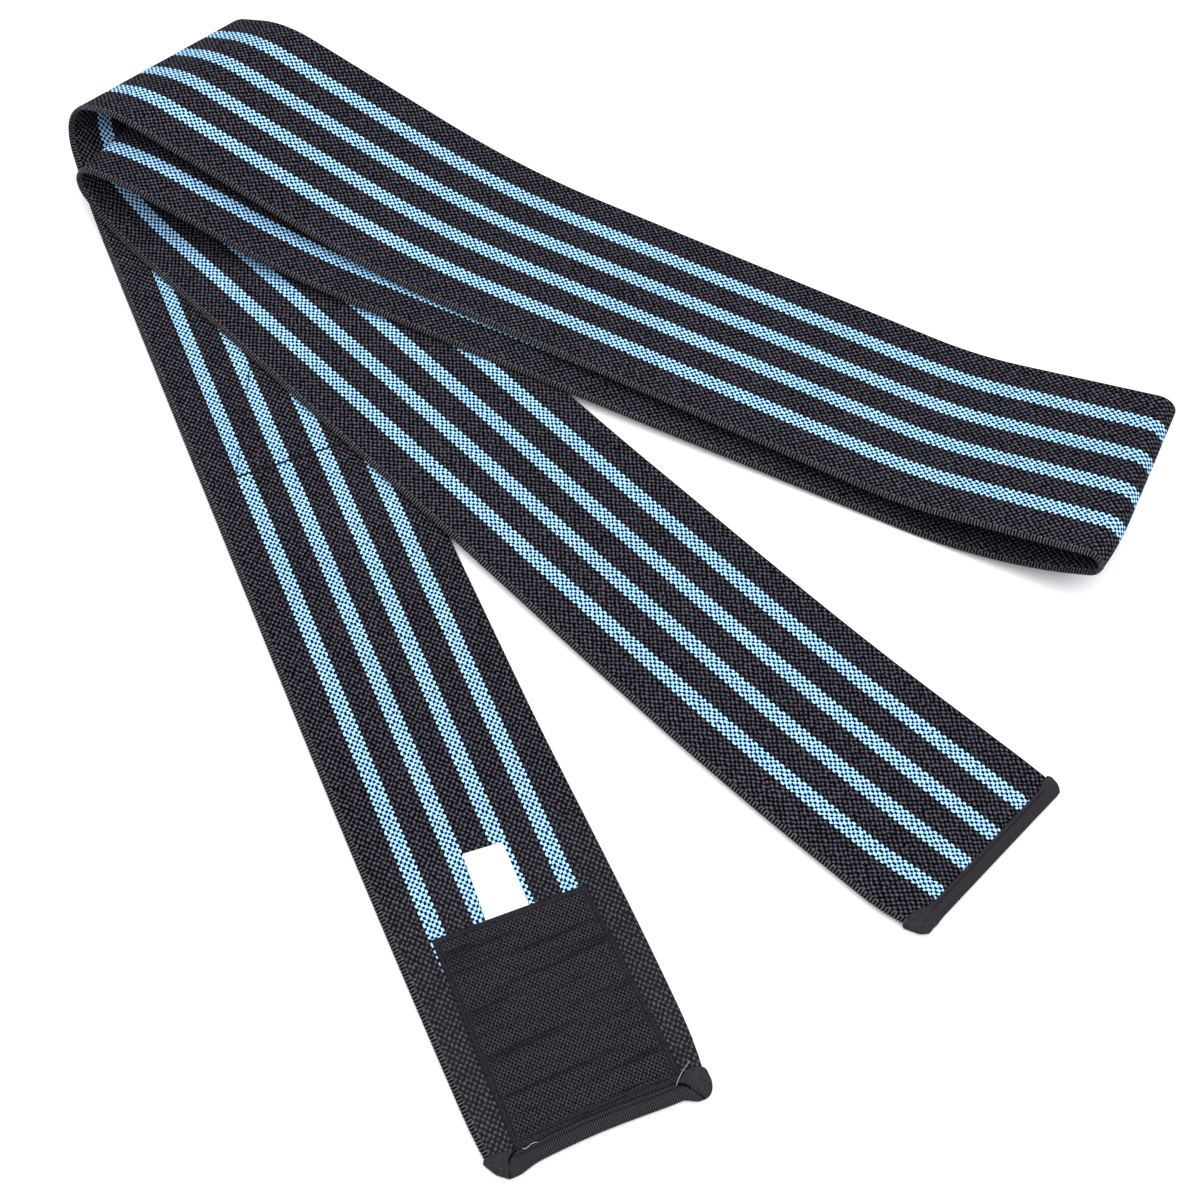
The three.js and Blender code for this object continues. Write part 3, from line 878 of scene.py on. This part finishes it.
def tape_profile():
    """Section of the folded tape as depth from the end and height, its outward pushes, and its slot."""
    slot = BAND_THICKNESS / 2 + SEAT_GAP
    full = slot + TAPE_THICKNESS
    steps = TAPE_FLANK_STEPS
    nose_reach = TAPE_NOSE + SEAT_GAP + TAPE_THICKNESS
    turn = np.linspace(math.pi / 2, 1.5 * math.pi, steps)
    nose = np.stack([TAPE_NOSE + nose_reach * np.cos(turn), full * np.sin(turn)], axis=1)
    nose_push = np.stack([np.cos(turn), np.sin(turn)], axis=1)
    flank = np.linspace(TAPE_DEPTH - TAPE_RIM, TAPE_NOSE + TAPE_FLANK_GAP, steps)
    upper = np.stack([flank, np.full(steps, full)], axis=1)
    lower = np.stack([flank[::-1], np.full(steps, -full)], axis=1)
    outer = np.vstack([[[TAPE_DEPTH, full - TAPE_RIM]], upper, nose, lower, [[TAPE_DEPTH, TAPE_RIM - full]]])
    still = [[0, 0]]
    push = np.vstack([still, np.tile([0, 1], (steps, 1)), nose_push, np.tile([0, -1], (steps, 1)), still])
    inner = np.array([[TAPE_DEPTH, -slot], [-SEAT_GAP, -slot], [-SEAT_GAP, slot], [TAPE_DEPTH, slot]])
    return outer, push, inner


def smooth_share(value):
    """Share from 0 to 1 that starts and ends gently."""
    value = np.clip(value, 0, 1)
    return value * value * (3 - 2 * value)


def ear_shares(ear, inside):
    """How tucked, pushed out and leaning the tape is this far inside its tip, and how full its section is."""
    tucked = float(smooth_share((ear["start"] - inside) / (ear["start"] - ear["full"])))
    pushed = float(smooth_share((ear["nose_start"] - inside) / (ear["nose_start"] - ear["full"])))
    leaning = float(smooth_share(1 - inside / EAR_SLANT_REACH))
    short = max(1 - inside / ear["narrow"], 0.0)
    rounding = ear["tip"] + (1 - ear["tip"]) * (1 - short ** ear["bow"]) ** (1 / ear["bow"])
    return tucked, pushed, leaning, rounding


def binding_piece(name, end, inward, lean, drawn_in, ears):
    """Ribbed tape round one end of the band, with a smooth folded ear at each side."""
    outer, push, inner = tape_profile()
    off_seam = (outer[:, 0] - TAPE_SEAM_DEPTH) / TAPE_SEAM_WIDTH
    seam_line = TAPE_SEAM_SINK * np.exp(-off_seam ** 2) * (outer[:, 1] > 0)
    inner_edge = end + inward * TAPE_DEPTH
    ribbed_tip = float(half_width(inner_edge, RIBBED_SIDE)) + EAR_OVERHANG
    plain_tip = float(half_width(inner_edge, PLAIN_SIDE)) + EAR_OVERHANG
    step = TAPE_RIB_PITCH / TAPE_RIB_STEPS
    across = np.arange(TAPE_TIP_TRIM - plain_tip, ribbed_tip - TAPE_TIP_TRIM, step)
    rings = []
    places = []
    for place in across:
        ear = ears["ribbed"] if place > 0 else ears["plain"]
        inside = ribbed_tip - place if place > 0 else plain_tip + place
        tucked, pushed, leaning, rounding = ear_shares(ear, inside)
        rib = TAPE_RIB_HEIGHT * (1 - tucked) * (math.cos(2 * math.pi * place / TAPE_RIB_PITCH) - 1)
        crease_at = ear["crease_nose"] + (ear["crease_inner"] - ear["crease_nose"]) * outer[:, 0] / TAPE_DEPTH
        groove = np.exp(-((inside - crease_at) / EAR_CREASE_WIDTH) ** 2) * (outer[:, 1] > 0)
        shell = outer + push * (rib - EAR_CREASE_DEPTH * groove - (1 - tucked) * seam_line)[:, None]
        open_share = 1.0 if inside > EAR_OVERHANG - SEAT_GAP else EAR_CLOSED_SHARE
        section = np.vstack([shell, inner * np.array([1.0, open_share])])
        depth = section[:, 0]
        deeper = depth + ear["depth"] * tucked * smooth_share(depth / TAPE_DEPTH)
        deeper = deeper - ear["nose"] * pushed * smooth_share((EAR_NOSE_END - depth) / EAR_NOSE_REACH)
        middle = (TAPE_DEPTH + ear["depth"] * tucked) / 2
        higher = section[:, 1] + ear["height"] * tucked * smooth_share(section[:, 1] / EAR_HEIGHT_REACH)
        section = np.stack([middle + (deeper - middle) * rounding, higher * rounding], axis=1)
        slant = math.copysign(ear["slant"] * leaning, place)
        slanted = place + slant * (section[:, 0] / TAPE_DEPTH - EAR_SLANT_PIVOT)
        edge = end + place * math.tan(lean) + drawn_in * end_bow(place)
        rings.append(lay(edge + inward * section[:, 0], slanted, section[:, 1]))
        fold = np.full(len(section), tucked)
        # The fold value drops below zero in the ears' creases, where the tape's material paints shade
        fold[:len(outer)] -= 2 * groove
        places.append(np.stack([section[:, 0], np.full(len(section), place), fold], axis=1))
    return closed_rings(name, np.array(rings), np.array(places))


def binding_material():
    """Charcoal tape, lighter on its ribs, plain on the folded ears, with shade painted dark in the ears'
    creases and a dark seam line.
    """
    tape_shade = (0.0045, 0.0042, 0.0056, 1)
    tape_colour = (0.045, 0.042, 0.049, 1)
    # Near black: painted shade in the ears' creases, and the seam line's own dark
    crease_shade_and_seam = (0.0016, 0.0014, 0.0020, 1)
    material, tree, shader = cloth_material("binding_tape", 0.85, 0.0)
    depth, across, fold, place = flat_place(tree)
    ribs = calc(tree, "COSINE", calc(tree, "MULTIPLY", across, 2 * math.pi / TAPE_RIB_PITCH))
    plain = calc(tree, "MULTIPLY", ribs, fade(tree, fold, 1.0, 0.0))
    uneven = mottle(tree, place, TAPE_FIBRE_SIZE)
    tone = fade(tree, calc(tree, "MULTIPLY_ADD", uneven, 0.9, plain), -0.5, 1.4)
    tape = dyed(tree, tone, tape_shade, tape_colour)
    off_seam = calc(tree, "ABSOLUTE", calc(tree, "SUBTRACT", depth, TAPE_SEAM_DEPTH))
    sewn = calc(tree, "MULTIPLY", fade(tree, off_seam, 0.0005, 0.0001), fade(tree, fold, 0.6, 0.1))
    # Paints shade in the ears' creases and darkens the seam line
    crease_shade_and_seam_share = calc(tree, "MAXIMUM", fade(tree, fold, -0.1, -0.9), calc(tree, "MULTIPLY", sewn, 0.5))
    tree.links.new(dyed(tree, crease_shade_and_seam_share, tape, crease_shade_and_seam), shader.inputs["Base Color"])
    fibres = mottle(tree, place, 0.0004, 3.0)
    raise_threads(tree, shader, fibres, TAPE_FIBRE_DEPTH, 0.6)
    return material


tape_finish = binding_material()
binding_fastener = binding_piece("fastener_end_tape", 0.0, 1.0, FASTENER_LEAN, 1.0, FASTENER_EARS)
binding_plain = binding_piece("plain_end_tape", BAND_LENGTH, -1.0, PLAIN_LEAN, 0.0, PLAIN_EARS)
for piece, node in ((binding_fastener, "end_binding_fastener"), (binding_plain, "end_binding_plain")):
    piece.data.materials.append(tape_finish)
    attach(piece, "root")
    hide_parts(node)

# Care label
# A short white ribbon caught under the hook panel's far edge, left blank.
# It lies flat on the stripes with a slight wave.
LABEL_STEPS = (24, 12)
LABEL_THICKNESS = 0.0004
LABEL_LIFT = 0.00025
LABEL_WAVE_HEIGHT = 0.00008
LABEL_WAVE_TURN = 9
LABEL_WEFT_REPEAT = 0.0005
LABEL_WEFT_ROW = 0.0004
LABEL_WEFT_DEPTH = 0.00003
LABEL_PATCH_SIZE = 0.004
LABEL_WHITE = (0.93, 0.93, 0.95, 1)
LABEL_SHADE = (0.84, 0.85, 0.88, 1)
LABEL = {"low": 0.0802, "high": 0.1056, "low_slope": 0.0594, "high_slope": 0.11, "low_bow": 0.0,
         "ribbed_low": 0.0060, "ribbed_high": 0.0043, "plain_low": 0.0098, "plain_high": 0.0102}


def label_top(along, across, inset):
    """Height of the label's face, lifting a little towards its free end."""
    share = (along - LABEL["low"]) / (LABEL["high"] - LABEL["low"])
    wave = LABEL_WAVE_HEIGHT * np.sin(share * LABEL_WAVE_TURN)
    return PANEL_SEAT + LABEL_THICKNESS + LABEL_LIFT * share ** 2 + wave


def label_material():
    """Smooth white satin ribbon with a fine weft."""
    material, tree, shader = cloth_material("label_ribbon", 0.55, 0.1)
    along, across, _, place = flat_place(tree)
    weft = lattice(tree, along, across, LABEL_WEFT_REPEAT, LABEL_WEFT_ROW)[0]
    soft = mottle(tree, place, LABEL_PATCH_SIZE)
    tree.links.new(dyed(tree, soft, LABEL_SHADE, LABEL_WHITE), shader.inputs["Base Color"])
    raise_threads(tree, shader, weft, LABEL_WEFT_DEPTH)
    return material


label = panel_piece("label_ribbon", LABEL, LABEL_STEPS, label_top)
label.data.materials.append(label_material())
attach(label, "root")
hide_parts("care_label")

# Loose threads
# Two pale ends of sewing thread, left uncut where the tape's ears were tacked down at the fastener end.
# One lies in a bow across the plain side's ear, the other is a small curl beside the ribbed side's ear.
LOOSE_THREAD_RADIUS = 0.0001
LOOSE_THREAD_STEPS = 28
LOOSE_THREAD_SIDES = 6
LOOSE_THREAD_COLOUR = (0.45, 0.45, 0.48, 1)
LOOSE_THREAD_SHADE = (0.24, 0.24, 0.27, 1)
# Each path: distance along the band, across it and off its middle surface
BOWED_THREAD = [(0.0082, -0.0371, 0.0014), (0.0059, -0.0332, 0.0036), (0.0027, -0.0294, 0.0029)]
CURLED_THREAD = [(0.0050, 0.0244, 0.0028), (0.0044, 0.0232, 0.0031), (0.0049, 0.0215, 0.0030),
                 (0.0046, 0.0192, 0.0028)]


def strand(name, path, material):
    """Closed tube of thread along a smooth path over the band."""
    knots = np.array(path)
    order = len(path) - 1
    share = np.linspace(0, order, LOOSE_THREAD_STEPS)
    smooth = [np.polyval(np.polyfit(np.arange(order + 1), knots[:, k], order), share) for k in range(3)]
    centre = lay(*smooth)
    ahead = unit(np.gradient(centre, axis=0))
    side = unit(np.cross(ahead, (0.0, 0.0, 1.0)))
    up = np.cross(side, ahead)
    turn = np.arange(LOOSE_THREAD_SIDES)[None, :, None] * 2 * math.pi / LOOSE_THREAD_SIDES
    round_thread = np.cos(turn) * side[:, None] + np.sin(turn) * up[:, None]
    piece = closed_rings(name, centre[:, None] + LOOSE_THREAD_RADIUS * round_thread)
    piece.data.materials.append(material)
    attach(piece, "root")
    return piece


pale_thread = thread_material("pale_thread", LOOSE_THREAD_COLOUR, LOOSE_THREAD_SHADE)
bowed_thread = strand("bowed_thread", BOWED_THREAD, pale_thread)
curled_thread = strand("curled_thread", CURLED_THREAD, pale_thread)

# Table and light
# A plain pale table, one broad soft lamp overhead and a pale room all round.
FLOOR_SIZE = 6.0
FLOOR_COLOUR = (0.92, 0.92, 0.93, 1)
FLOOR_ROUGHNESS = 0.9
FLOOR_SPECULAR = 0.1
ROOM_LIGHT = 0.60
LAMP_SIZE = 2.2
LAMP_POWER = 42.0
LAMP_PLACE = Vector((0.10, -0.20, 1.6))

floor_mesh = bpy.data.meshes.new("table")
corner = FLOOR_SIZE / 2
floor_corners = [(-corner, -corner, 0), (corner, -corner, 0), (corner, corner, 0), (-corner, corner, 0)]
floor_mesh.from_pydata(floor_corners, [], [(0, 1, 2, 3)])
floor = bpy.data.objects.new("table", floor_mesh)
bpy.context.scene.collection.objects.link(floor)
floor_material = bpy.data.materials.new("pale_table")
floor_material.use_nodes = True
floor_shader = floor_material.node_tree.nodes["Principled BSDF"]
floor_shader.inputs["Base Color"].default_value = FLOOR_COLOUR
floor_shader.inputs["Roughness"].default_value = FLOOR_ROUGHNESS
floor_shader.inputs["Specular IOR Level"].default_value = FLOOR_SPECULAR
floor_mesh.materials.append(floor_material)

lamp_data = bpy.data.lights.new("softbox", "AREA")
lamp_data.shape = "DISK"
lamp_data.size = LAMP_SIZE
lamp_data.energy = LAMP_POWER
lamp = bpy.data.objects.new("softbox", lamp_data)
lamp.location = LAMP_PLACE
lamp.rotation_euler = (-LAMP_PLACE).to_track_quat("-Z", "Y").to_euler()
bpy.context.scene.collection.objects.link(lamp)

room = bpy.data.worlds.new("room")
room.use_nodes = True
room.node_tree.nodes["Background"].inputs["Color"].default_value = (1, 1, 1, 1)
room.node_tree.nodes["Background"].inputs["Strength"].default_value = ROOM_LIGHT
bpy.context.scene.world = room
bpy.context.scene.view_settings.view_transform = "Standard"
